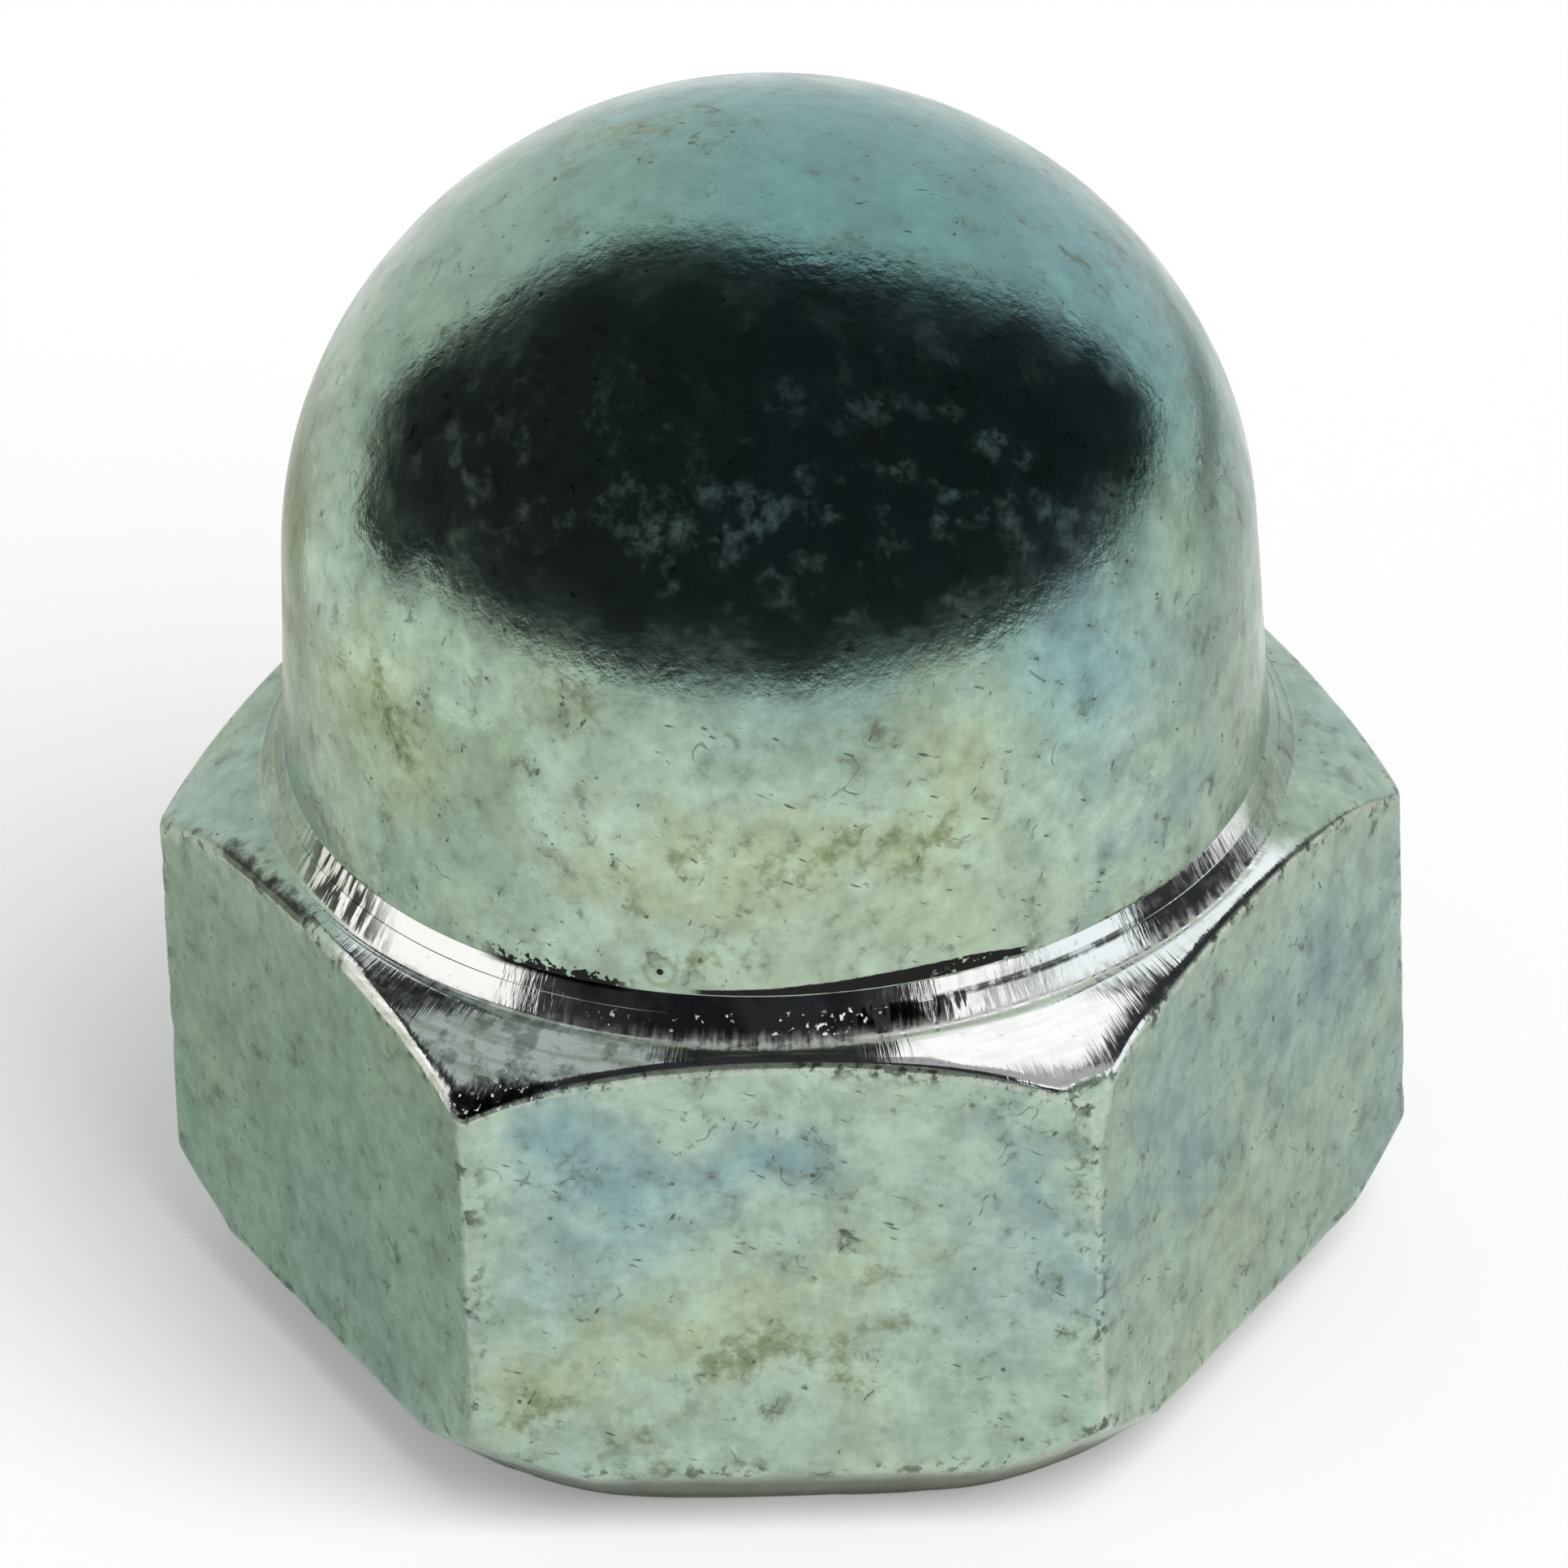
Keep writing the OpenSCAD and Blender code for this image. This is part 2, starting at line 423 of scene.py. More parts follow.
class Section:
    """Half section of the nut at an angle from the middle of a flat, with marks for its finish."""

    def __init__(self, s, turn):
        self.s = s
        self.turn = turn
        self.reach = hexagon_reach(s, turn)
        self.points = []
        self.turned = []
        self.rim = []
        self.add_hole()
        self.add_foot()
        self.add_flat()
        self.add_bevel()
        self.add_flare()
        self.add_cap()

    def add(self, points, turned=0.0, rim=0.0):
        """Appends points, with how far they are bright turned zinc and how far they are a worn rim."""
        self.points += points
        self.turned += [turned] * len(points)
        self.rim += [rim] * len(points)

    def add_hole(self):
        s = self.s
        end = Vector((0, s.hole_depth + s.point_depth))
        wall_top = Vector((s.tap_r, s.hole_depth))
        wall_foot = Vector((s.tap_r, s.mouth_depth))
        mouth = Vector((s.mouth_r, 0))
        flare = math.atan2(-s.mouth_depth, s.mouth_r - s.tap_r)
        self.add([end.lerp(wall_top, t) for t in even(0, 1, POINT_STEPS)])
        self.add(rounded(wall_foot, math.radians(-90), flare, s.mouth_rim_r, MOUTH_STEPS))
        self.add([wall_foot.lerp(mouth, 0.5)])
        self.add(rounded(mouth, flare, 0, s.mouth_rim_r, MOUTH_STEPS), rim=1.0)

    def add_foot(self):
        s = self.s
        bevelled = (s.across_flats / 2 - s.foot_in) / math.cos(self.turn)
        toe = Vector((soft_min(bevelled, s.foot_corner, FOOT_BLEND * MM), 0))
        top = max(s.foot_rise, self.reach - s.foot_corner)
        heel = Vector((self.reach, top))
        slope = math.atan2(heel.y - toe.y, heel.x - toe.x)
        toe_arc = rounded(toe, 0, slope, s.foot_r, FOOT_ARC_STEPS)
        heel_arc = rounded(heel, slope, math.radians(90), s.foot_r, FOOT_ARC_STEPS)
        self.add(straight(self.points[-1], toe_arc[0], BEARING_STEPS))
        self.add(toe_arc, rim=TOE_WEAR)
        self.add(straight(toe_arc[-1], heel_arc[0], FOOT_STEPS), rim=FOOT_WEAR)
        self.add(heel_arc, rim=HEEL_WEAR)

    def bevel_height(self, r):
        """Height of the top bevel at a distance from the axis, and its slope there."""
        s = self.s
        inner_r = s.across_flats / 2 - s.bevel_in
        corner_r = s.across_flats / 2 / math.cos(HALF_SECTOR)
        swell = (corner_r - inner_r) / (math.sin(s.bevel_outer) - math.sin(s.bevel_inner))
        off = r - inner_r + swell * math.sin(s.bevel_inner)
        slope = math.asin(off / swell)
        return s.hexagon_h - swell * (math.cos(s.bevel_inner) - math.cos(slope)), slope

    def add_flat(self):
        s = self.s
        rim_z, slope = self.bevel_height(self.reach)
        rim = Vector((self.reach, rim_z))
        arc = rounded(rim, math.radians(90), math.pi - slope, s.rim_r, RIM_STEPS)
        upper = RIM_STEPS // 2 + 1
        foot = self.points[-1]
        for point in straight(foot, arc[0], FLAT_ROWS):
            near = min(point.y - foot.y, arc[0].y - point.y)
            self.add([point], rim=max(0.0, 1 - near / (WEAR_REACH * MM)) ** 2)
        self.add(arc[:1], rim=1.0)
        self.add(arc[1:upper], turned=0.5, rim=1.0)
        self.add(arc[upper:], turned=1.0, rim=RIM_TOP_WEAR)

    def add_bevel(self):
        s = self.s
        inner_r = s.across_flats / 2 - s.bevel_in
        for r in even(self.points[-1].x, inner_r, BEVEL_STEPS)[1:]:
            self.add([Vector((r, self.bevel_height(r)[0]))], turned=1.0)

    def side_at(self, z):
        """Radius of the cap's tapered side at a height."""
        s = self.s
        top = self.side_top()
        return top.x + (top.y - z) * math.tan(s.cap_taper)

    def haunch_centre(self):
        s = self.s
        across = s.cap_r - s.haunch_r
        rise = math.sqrt((s.crown_r - s.haunch_r) ** 2 - across**2)
        return Vector((across, s.height - s.crown_r + rise))

    def side_top(self):
        return self.haunch_centre() + self.s.haunch_r * heading(self.s.cap_taper)

    def add_flare(self):
        s = self.s
        lip_z = s.hexagon_h + s.flare_h
        lip = Vector((self.side_at(lip_z), lip_z))
        foot = Vector((lip.x + s.flare_out, s.hexagon_h))
        ledge_out = foot.lerp(lip, LEDGE_AT)
        ledge_in = ledge_out - Vector((s.ledge, 0))
        climb = math.atan2(ledge_out.y - foot.y, ledge_out.x - foot.x)
        climb_on = math.atan2(lip.y - ledge_in.y, lip.x - ledge_in.x)
        self.add(rounded(foot, math.pi, climb, -s.flare_r, FLARE_STEPS), turned=1.0)
        self.add(straight(self.points[-1], ledge_out, FLARE_STEPS), turned=1.0)
        self.add([ledge_out, ledge_in], turned=1.0)
        self.lip = rounded(lip, climb_on, math.pi / 2 + s.cap_taper, -s.lip_r, LIP_STEPS)
        self.add(straight(ledge_in, self.lip[0], FLARE_STEPS), turned=1.0)
        self.add(self.lip[: LIP_STEPS // 2], turned=1.0)
        self.add(self.lip[LIP_STEPS // 2 :], rim=LIP_WEAR)

    def add_cap(self):
        s = self.s
        haunch = self.haunch_centre()
        crown = Vector((0, s.height - s.crown_r))
        meeting = math.atan2(haunch.y - crown.y, haunch.x)
        self.add(straight(self.lip[-1], self.side_top(), SIDE_STEPS))
        over_haunch = even(s.cap_taper, meeting, HAUNCH_STEPS)
        self.add([haunch + s.haunch_r * heading(t) for t in over_haunch])
        over_crown = even(meeting, math.radians(90), CROWN_STEPS)[1:-1]
        self.add([crown + s.crown_r * heading(t) for t in over_crown])
        self.add([Vector((0, s.height))])


def step_turns(s):
    """Angles from the middle of a flat for the steps of one sector, packed closer at the edges."""
    flat_end = HALF_SECTOR - edge_blend(s)
    half = [flat_end * math.sin(math.pi / 2 * i / FLAT_STEPS) for i in range(FLAT_STEPS)]
    half += even(flat_end, HALF_SECTOR, EDGE_STEPS)
    return half + [-turn for turn in half[-2:0:-1]]


def near_edge(s, turn):
    """How close a step is to an upright edge, from 0 on the flat to 1 on the edge."""
    flat_end = HALF_SECTOR - edge_blend(s)
    if abs(turn) >= flat_end:
        return EDGE_WEAR + (1 - EDGE_WEAR) * (abs(turn) - flat_end) / edge_blend(s)
    away = s.across_flats / 2 * (math.tan(flat_end) - math.tan(abs(turn)))
    return EDGE_WEAR * max(0.0, 1 - away / (WEAR_REACH * MM))


def new_object(name, bm):
    """Makes an object at the origin from a bmesh."""
    mesh = bpy.data.meshes.new(name)
    bm.to_mesh(mesh)
    bm.free()
    obj = bpy.data.objects.new(name, mesh)
    bpy.context.scene.collection.objects.link(obj)
    return obj


def spin_line(bm, line, steps, rise=0.0):
    """Joins vertices into a line and spins it once round the axis, with a rise at each step."""
    edges = [bm.edges.new(pair) for pair in zip(line, line[1:])]
    bmesh.ops.spin(
        bm,
        geom=line + edges,
        cent=(0, 0, 0),
        axis=(0, 0, 1),
        dvec=(0, 0, rise),
        angle=math.tau,
        steps=steps,
        use_merge=rise == 0,
    )


def spin_blank(s):
    """Spins the section at the middle of a flat into a round blank. Each vertex keeps its row."""
    bm = bmesh.new()
    row_of = bm.verts.layers.int.new("row")
    middle = Section(s, 0.0)
    line = []
    for row, point in enumerate(middle.points):
        vert = bm.verts.new((0, -point.x, point.y))
        vert[row_of] = row
        line.append(vert)
    spin_line(bm, line, SPIN_STEPS)
    bmesh.ops.remove_doubles(bm, verts=bm.verts, dist=WELD)
    bmesh.ops.recalc_face_normals(bm, faces=bm.faces)
    return bm


def press_hexagon(bm, s):
    """Presses the round blank into the hexagon, and marks its rims and its turned zinc."""
    row_of = bm.verts.layers.int["row"]
    rim_of = bm.verts.layers.float.new("rim")
    turned_of = bm.verts.layers.float.new("turned")
    turns = step_turns(s)
    sections = {turn: Section(s, turn) for turn in turns}
    first_foot = next(i for i, p in enumerate(sections[0.0].points) if p.y == 0)
    for vert in bm.verts:
        row = vert[row_of]
        spun = math.atan2(vert.co.y, vert.co.x) - FRONT
        sector, step = divmod(round(spun / math.tau * SPIN_STEPS) % SPIN_STEPS, SECTOR_STEPS)
        section = sections[turns[step]]
        point = section.points[row]
        past_corner = step > SECTOR_STEPS // 2
        place = FRONT + (sector + past_corner) * 2 * HALF_SECTOR + turns[step]
        vert.co = (point.x * math.cos(place), point.x * math.sin(place), point.y)
        rim = section.rim[row]
        on_hexagon = row > first_foot and point.x > s.cap_r and point.y < s.hexagon_h
        if on_hexagon and section.turned[row] < 1:
            rim = max(rim, near_edge(s, turns[step]))
        vert[rim_of] = rim
        vert[turned_of] = section.turned[row]
    bm.verts.layers.int.remove(row_of)


def blunt_corner(bm, s):
    """Flattens the top of the right front corner, as if the nut had been dropped on it."""
    corner_r = s.across_flats / 2 / math.cos(HALF_SECTOR) - BLUNT_FROM * MM
    level = math.cos(BLUNT_TILT)
    out = Vector((math.cos(BLUNT_AT) * level, math.sin(BLUNT_AT) * level, math.sin(BLUNT_TILT)))
    low_end = Vector((math.cos(BLUNT_AT) * corner_r, math.sin(BLUNT_AT) * corner_r, BLUNT_LOW * MM))
    turned_of = bm.verts.layers.float["turned"]
    for vert in bm.verts:
        proud = (vert.co - low_end).dot(out)
        if proud > 0 and vert.co.z < s.hexagon_h and vert.co.z > low_end.z - MM:
            vert.co -= out * proud
            vert[turned_of] = 0.0


def dent_faces(bm, s):
    """Gives the plated faces their slight unevenness and dents the rims, always inwards."""
    rim_of = bm.verts.layers.float["rim"]
    turned_of = bm.verts.layers.float["turned"]
    bm.normal_update()
    moves = []
    for vert in bm.verts:
        by_hole = math.hypot(vert.co.x, vert.co.y) < s.mouth_r + MOUTH_MARGIN * MM
        if by_hole and vert.co.z < s.hexagon_h * 2:
            continue
        at = vert.co / MM
        wave = WAVE_MEAN + WAVE_SHARE * noise.noise(at * WAVE_CELLS)
        wave += RIPPLE_SHARE * noise.noise(at * RIPPLE_CELLS)
        depth = s.waviness * wave * (1 - TURNED_CALM * vert[turned_of])
        chip = max(0.0, noise.noise(at * CHIP_CELLS + CHIP_SHIFT) - CHIP_FROM)
        depth += s.dent * chip * vert[rim_of]
        moves.append((vert, vert.co - vert.normal * depth))
    for vert, place in moves:
        vert.co = place


def make_tap(s):
    """Makes the threaded cutter that taps the hole."""
    bm = bmesh.new()
    root = s.tap_r - TAP_UNDERSIZE * MM
    crest_half = s.thread_pitch / 16
    root_half = crest_half + (s.thread_r - root) * math.tan(HALF_SECTOR)
    turns = math.ceil(s.thread_top / s.thread_pitch) + TAP_LEAD + 1
    tooth = (
        (root, -root_half),
        (s.thread_r, -crest_half),
        (s.thread_r, crest_half),
        (root, root_half),
    )
    line = []
    for turn in range(turns):
        middle = (turn - TAP_LEAD) * s.thread_pitch
        for r, z in tooth:
            line.append(bm.verts.new((0, -r, middle + z)))
    spin_line(bm, line, THREAD_STEPS, s.thread_pitch / THREAD_STEPS)
    bmesh.ops.remove_doubles(bm, verts=bm.verts, dist=TAP_WELD)
    for height, side in ((-0.5 * s.thread_pitch, -1), (s.thread_top, 1)):
        bmesh.ops.bisect_plane(
            bm,
            geom=bm.verts[:] + bm.edges[:] + bm.faces[:],
            dist=WELD,
            plane_co=(0, 0, height),
            plane_no=(0, 0, side),
            clear_outer=True,
        )
    rims = [edge for edge in bm.edges if edge.is_boundary]
    bmesh.ops.holes_fill(bm, edges=rims)
    bmesh.ops.recalc_face_normals(bm, faces=bm.faces)
    return new_object("thread_tap", bm)


def cut_thread(nut, tap):
    """Cuts the thread into the nut and removes the tap."""
    cut = nut.modifiers.new("Thread", "BOOLEAN")
    cut.operation = "DIFFERENCE"
    cut.solver = "MANIFOLD"
    cut.object = tap
    bpy.context.view_layer.update()
    depsgraph = bpy.context.evaluated_depsgraph_get()
    threaded = bpy.data.meshes.new_from_object(nut.evaluated_get(depsgraph))
    nut.modifiers.remove(cut)
    blank, nut.data = nut.data, threaded
    bpy.data.meshes.remove(blank)
    bpy.data.objects.remove(tap)


def mark_hole(nut, s):
    """Marks the faces inside the hole, for their own shade of plate."""
    inside = nut.data.attributes.new("inside", "FLOAT", "POINT")
    for i, vert in enumerate(nut.data.vertices):
        r = math.hypot(vert.co.x, vert.co.y)
        above_mouth = HOLE_MARGIN * MM < vert.co.z < s.hole_depth + s.point_depth
        inside.data[i].value = float(above_mouth and r < s.thread_r + HOLE_MARGIN * MM)


def mark_film(nut):
    """Marks how deep each vertex lies in the film's clouds, stains and painted dark reflection, for the
    material.
    """
    verts = nut.data.vertices
    near = kdtree.KDTree(len(verts))
    for i, vert in enumerate(verts):
        near.insert(vert.co / MM, i)
    near.balance()
    for name, marks in FILM_MARKS.items():
        depths = [UNMARKED] * len(verts)
        for start, end, reach, strength in marks:
            start = Vector(start)
            along = Vector(end) - start
            around = (1 - UNMARKED) * reach + along.length / 2
            for place, i, _ in near.find_range(start + along / 2, around):
                t = (place - start).dot(along) / along.length_squared
                away = (place - start - along * min(max(t, 0.0), 1.0)).length
                depths[i] = max(depths[i], strength * (1 - away / reach))
        nut.data.attributes.new(name, "FLOAT", "POINT").data.foreach_set("value", depths)


class Shader:
    """Adds shader nodes to one material or world and links them."""

    def __init__(self, owner):
        owner.use_nodes = True
        self.tree = owner.node_tree
        self.tree.nodes.clear()

    def add(self, kind, *inputs, **settings):
        """Adds a node. Each input is a value or another node's socket, and None is left alone."""
        node = self.tree.nodes.new(kind)
        for name, value in settings.items():
            setattr(node, name, value)
        for socket, value in zip(node.inputs, inputs):
            self.set(socket, value)
        return node

    def set(self, socket, value):
        """Links a socket to another node's, or gives it a value."""
        if isinstance(value, bpy.types.NodeSocket):
            self.tree.links.new(value, socket)
        elif value is not None:
            socket.default_value = value

    def math(self, operation, *values):
        return self.add("ShaderNodeMath", *values, operation=operation).outputs[0]

    def vector(self, operation, *values, output="Vector"):
        return self.add("ShaderNodeVectorMath", *values, operation=operation).outputs[output]

    def chain(self, operation, values):
        result = values[0]
        for value in values[1:]:
            result = self.math(operation, result, value)
        return result

    def product(self, *factors):
        return self.chain("MULTIPLY", factors)

    def most(self, *values):
        return self.chain("MAXIMUM", values)

    def inverse(self, share):
        return self.math("SUBTRACT", 1.0, share)

    def uneven(self, value, wave, amount):
        """A value to which some amount of a wave is added."""
        return self.math("MULTIPLY_ADD", wave, amount, value)

    def between(self, value, low, high, start=0.0, end=1.0):
        """Eases from start to end as a value goes from low to high."""
        node = self.add(
            "ShaderNodeMapRange", value, low, high, start, end, interpolation_type="SMOOTHSTEP"
        )
        return node.outputs[0]

    def within(self, value, rise, fall):
        """1 for a value between two soft limits, otherwise 0."""
        return self.product(self.between(value, *rise), self.between(value, *fall))

    def blend(self, factor, a, b):
        """Mixes two numbers."""
        return self.add("ShaderNodeMix", factor, None, a, b).outputs[0]

    def mix(self, factor, a, b):
        """Mixes two colours. A plain colour is given as three numbers."""
        node = self.add("ShaderNodeMix", factor, data_type="RGBA")
        for socket, value in ((node.inputs[6], a), (node.inputs[7], b)):
            plain = not isinstance(value, bpy.types.NodeSocket)
            self.set(socket, (*value, 1.0) if plain else value)
        return node.outputs[2]

    def noise(self, place, scale, detail, roughness):
        node = self.add("ShaderNodeTexNoise", place, None, scale, detail, roughness)
        return node.outputs["Fac"]

    def moved(self, place, *offset):
        return self.vector("ADD", place, offset)

    def scaled(self, vector, factor):
        return self.vector("SCALE", vector, None, None, factor)

    def stretched(self, place, turn, scale):
        """Turns a place by angles in degrees and stretches it along its new axes."""
        turn = [math.radians(t) for t in turn]
        node = self.add("ShaderNodeMapping", place, None, turn, scale, vector_type="TEXTURE")
        return node.outputs[0]

    def attribute(self, name):
        return self.add("ShaderNodeAttribute", attribute_name=name).outputs["Fac"]


class Surface:
    """What the finish reads at each place of the nut: millimetres, marks of the mesh and noises."""

    def __init__(self, n):
        place = n.scaled(n.add("ShaderNodeTexCoord").outputs["Object"], 1 / MM)
        level = n.vector("MULTIPLY", place, (1, 1, 0))
        self.place = place
        self.across, self.depth, self.height = n.add("ShaderNodeSeparateXYZ", place).outputs
        self.radius = n.vector("LENGTH", level, output="Value")
        self.turned = n.attribute("turned")
        self.rim = n.attribute("rim")
        self.inside = n.attribute("inside")
        self.flare = n.between(self.height, *FLARE_FOOT)
        self.below_step = n.between(self.height, STEP_LINE + STEP_ABOVE, STEP_LINE)

        self.cloud = n.noise(n.moved(place, 2, 5, 5), 0.9, 4, 0.55)
        self.smear = n.noise(n.moved(place, 6.5, 1.5, 8.5), 1.7, 3, 0.5)
        self.pebble = n.noise(n.moved(place, 9.5, 4.5, 2.5), 2.3, 4, 0.66)
        self.grain = n.noise(place, 4.2, 3, 0.62)
        self.fine = n.noise(n.moved(place, 5.5, 3.5, 6.5), 9.0, 2, 0.5)
        outward = n.scaled(n.vector("NORMALIZE", level), STREAKS)
        rise = n.vector("MULTIPLY", place, (0, 0, STREAK_RISE))
        self.streak = n.noise(n.vector("ADD", outward, rise), 1.0, 3, 0.6)
        rings = n.product(self.radius, LATHE_MARKS)
        lathe = n.add("ShaderNodeCombineXYZ", rings, n.product(self.across, LATHE_ACROSS))
        self.lathe = n.noise(lathe.outputs[0], 1.0, 3, 0.6)


def marked(n, name, ragged, strength):
    """How far a place lies in one of the marks of the mesh, whose rims are ragged."""
    deep = n.math("ADD", n.attribute(name), ragged)
    return n.between(deep, 0.0, 0.8, 0.0, strength)


def blister(n, at):
    """Distance from the middle of a small blister in the film."""
    return n.vector("DISTANCE", at.place, BLISTER_AT, output="Value")


def film_colour(n, at, f):
    """Colour of the passivated film: pale green, with clouds, stains, smudges and worn edges, and
    painted shade over the turned bevel and flare.
    """
    ragged = n.uneven(-0.6, at.cloud, 1.2)
    close = n.uneven(-1.5, at.pebble, 3.0)
    drift = n.noise(n.moved(at.place, 3.1, 7.7, 1.3), 0.2, 2, 0.55)
    yellow = n.product(n.between(drift, 0.5, 0.72, 0, 0.4), n.between(at.height, *YELLOW_TOP))
    dome = n.mix(n.between(at.across, *DOME_SIDES), f.dome_left, f.dome)
    colour = n.mix(n.between(at.height, *DOME_FILM), f.film, dome)
    colour = n.mix(yellow, colour, f.yellow)
    colour = n.mix(n.between(drift, 0.5, 0.28, 0, 0.4), colour, f.blue)
    colour = n.mix(marked(n, "yellow", ragged, 0.75), colour, f.yellow)
    colour = n.mix(marked(n, "blue", ragged, 0.78), colour, f.blue)
    colour = n.mix(marked(n, "stain", close, 0.75), colour, f.stain)
    smudges = n.product(n.between(at.smear, 0.54, 0.7), n.between(at.cloud, 0.44, 0.58), 0.45)
    scrapes = n.product(n.between(at.pebble, 0.57, 0.68), n.between(at.smear, 0.47, 0.6), 0.6)
    colour = n.mix(n.most(smudges, scrapes), colour, f.smudge_and_shade)
    shade = n.product(
        n.between(at.cloud, 0.3, 0.7, 1.12, 0.88),
        n.between(at.pebble, 0.3, 0.7, 1.13, 0.87),
        n.between(at.grain, 0.25, 0.75, 1.05, 0.95),
    )
    calm = n.between(at.height, *CALM_DOME, 1.0, 0.5)
    colour = n.scaled(colour, n.uneven(1.0, n.math("SUBTRACT", shade, 1.0), calm))
    # Painted shade: the film over the turned bevel and flare is darkened towards the smudge colour
    colour = n.mix(n.product(at.turned, 0.22), colour, f.smudge_and_shade)
    edge_wear = n.product(n.between(at.rim, 0.78, 1.0), n.between(at.grain, 0.6, 0.4, 0.1, 0.6))
    colour = n.mix(edge_wear, colour, f.worn)
    ring = n.within(blister(n, at), *BLISTER_RING)
    return n.mix(n.product(ring, 0.45), colour, f.stain)


def bare_zinc(n, at):
    """Where the turned zinc of flare and bevel has no film, which is over the front only."""
    turned = n.math("ADD", at.turned, n.between(at.across, *WORN_LEFT, 0.0, 0.35))
    front = n.between(n.uneven(at.depth, at.cloud, 3.0), *BARE_BACK)
    left_end = n.most(
        n.between(n.uneven(at.across, at.pebble, 0.8), *BEVEL_LEFT),
        n.product(at.flare, n.between(at.across, *FLARE_LEFT)),
    )
    return n.product(n.between(turned, 0.55, 0.85), front, left_end)


def worn_and_highlight_ring(n, at):
    """The rough ring at the foot of the flare, partly wear and partly a painted highlight: a light matt
    line, fuzzy and streaked, and faint at the left.
    """
    inner = n.between(n.uneven(at.radius, at.streak, 0.25), *RING_INNER)
    outer = n.between(n.uneven(at.radius, at.grain, 0.16), *RING_OUTER)
    streaked = n.between(n.uneven(at.grain, at.streak, 0.8), 0.62, 1.05)
    return n.product(inner, outer, streaked, n.between(at.across, *RING_FAINT, 0.25, 1.0))


def zinc_colour(n, at, worn, f):
    """Colour of the bare zinc: painted dark reflection of the room in streaks, a cloudy middle and bars
    on the flare, along the step and in mottles over the left of the bevel, and lathe marks on the
    bevel.
    """
    bevel = n.inverse(at.flare)
    streaks = n.product(n.between(at.across, *STREAKED_LEFT), n.between(at.streak, 0.44, 0.54))
    front_dark_reflection = n.product(n.within(at.across, *FRONT_DARK_ENDS), n.between(at.cloud, 0.4, 0.6, 0.25, 0.7))
    bars = n.product(n.within(at.across, *BARS_ENDS), at.below_step)
    bars = n.product(bars, n.between(at.streak, 0.46, 0.54))
    off_step = n.math("ABSOLUTE", n.math("SUBTRACT", at.height, STEP_LINE))
    step = n.product(n.between(off_step, *STEP_DARK), n.within(at.across, *STEP_ENDS))
    step = n.product(step, n.between(at.grain, 0.4, 0.55, 0.35, 0.9))
    mottled = n.product(n.between(at.pebble, 0.46, 0.62), n.between(at.across, *MOTTLED), 0.5)
    mottled = n.product(mottled, n.between(at.rim, 0.3, 0.1), bevel)
    # Painted dark reflection on the flare and bevel, mixed in as a dark colour
    flare_dark_reflection = n.most(n.product(at.flare, n.most(streaks, front_dark_reflection, bars)), step, mottled)
    scored = n.product(n.between(at.lathe, 0.42, 0.66), n.between(at.across, *SCORED, 0.25, 0.9))
    colour = n.mix(n.product(scored, bevel), f.bare, f.worn)
    # The worn ring's light colour, partly a painted highlight
    return n.mix(worn, n.mix(flare_dark_reflection, colour, f.painted_dark_reflection), f.worn)


def nicks(n, at, bare):
    """Sparse dark nicks in two directions, fine bent scratches, small dots and chips of the rims."""
    flat_place = n.stretched(at.place, (0, 24, 10), (0.55, 0.13, 0.11))
    flat = n.between(n.noise(flat_place, 1.0, 1, 0.55), 0.69, 0.76)
    steep_place = n.stretched(n.moved(at.place, 4, 9, 2), (0, -62, 20), (0.4, 0.11, 0.1))
    steep = n.between(n.noise(steep_place, 1.0, 1, 0.55), 0.69, 0.76)
    bend = n.noise(n.moved(at.place, 1, 8, 4), 0.7, 2, 0.55)
    bend = n.math("ABSOLUTE", n.math("SUBTRACT", bend, 0.5))
    hair = n.product(n.between(bend, 0.009, 0.003), n.between(at.smear, 0.58, 0.66), 0.65)
    dots = n.add("ShaderNodeTexVoronoi", at.place, None, 1.5).outputs["Distance"]
    scars = n.most(
        n.product(flat, n.between(at.smear, 0.46, 0.56)),
        n.product(steep, n.between(at.pebble, 0.5, 0.58)),
        hair,
        n.product(n.between(dots, 0.085, 0.05), n.between(at.cloud, 0.53, 0.58)),
    )
    chips = n.product(at.rim, n.between(at.grain, 0.52, 0.6), n.between(at.smear, 0.45, 0.56))
    marks = n.most(n.product(scars, 0.8), n.product(chips, 0.85))
    return n.product(marks, n.between(bare, 0.2, 0.8, 1.0, 0.25))


def foot_grime_and_shade(n, at):
    """Painted shade with an olive grime tint: darkens the foot more and more towards the bottom, but
    not on the bearing face.
    """
    low = n.uneven(at.height, at.grain, 0.4)
    grime_and_shade = n.math(
        "ADD", n.between(low, *GRIME_AND_SHADE_HIGH, 0.0, 0.72), n.between(low, *GRIME_AND_SHADE_LOW, 0.0, 0.28)
    )
    return n.product(grime_and_shade, n.between(at.radius, *GRIME_AND_SHADE_INNER))


def lap_line(n, at):
    """The dark lap that forging left over the right half of the cap's lower edge."""
    rise = n.product(n.between(at.across, *LAP_RISE, 0.1, 0.3), n.between(at.across, *LAP_FALL, 0.3, 1))
    low = n.uneven(at.height, at.grain, 0.06)
    below_top = n.between(n.math("SUBTRACT", low, rise), *LAP_TOP)
    above_lip = n.between(at.height, *LAP_FOOT)
    whole = n.most(n.between(at.fine, 0.66, 0.6), n.between(at.across, *LAP_WHOLE))
    return n.product(below_top, above_lip, n.within(at.across, *LAP_ENDS), whole)


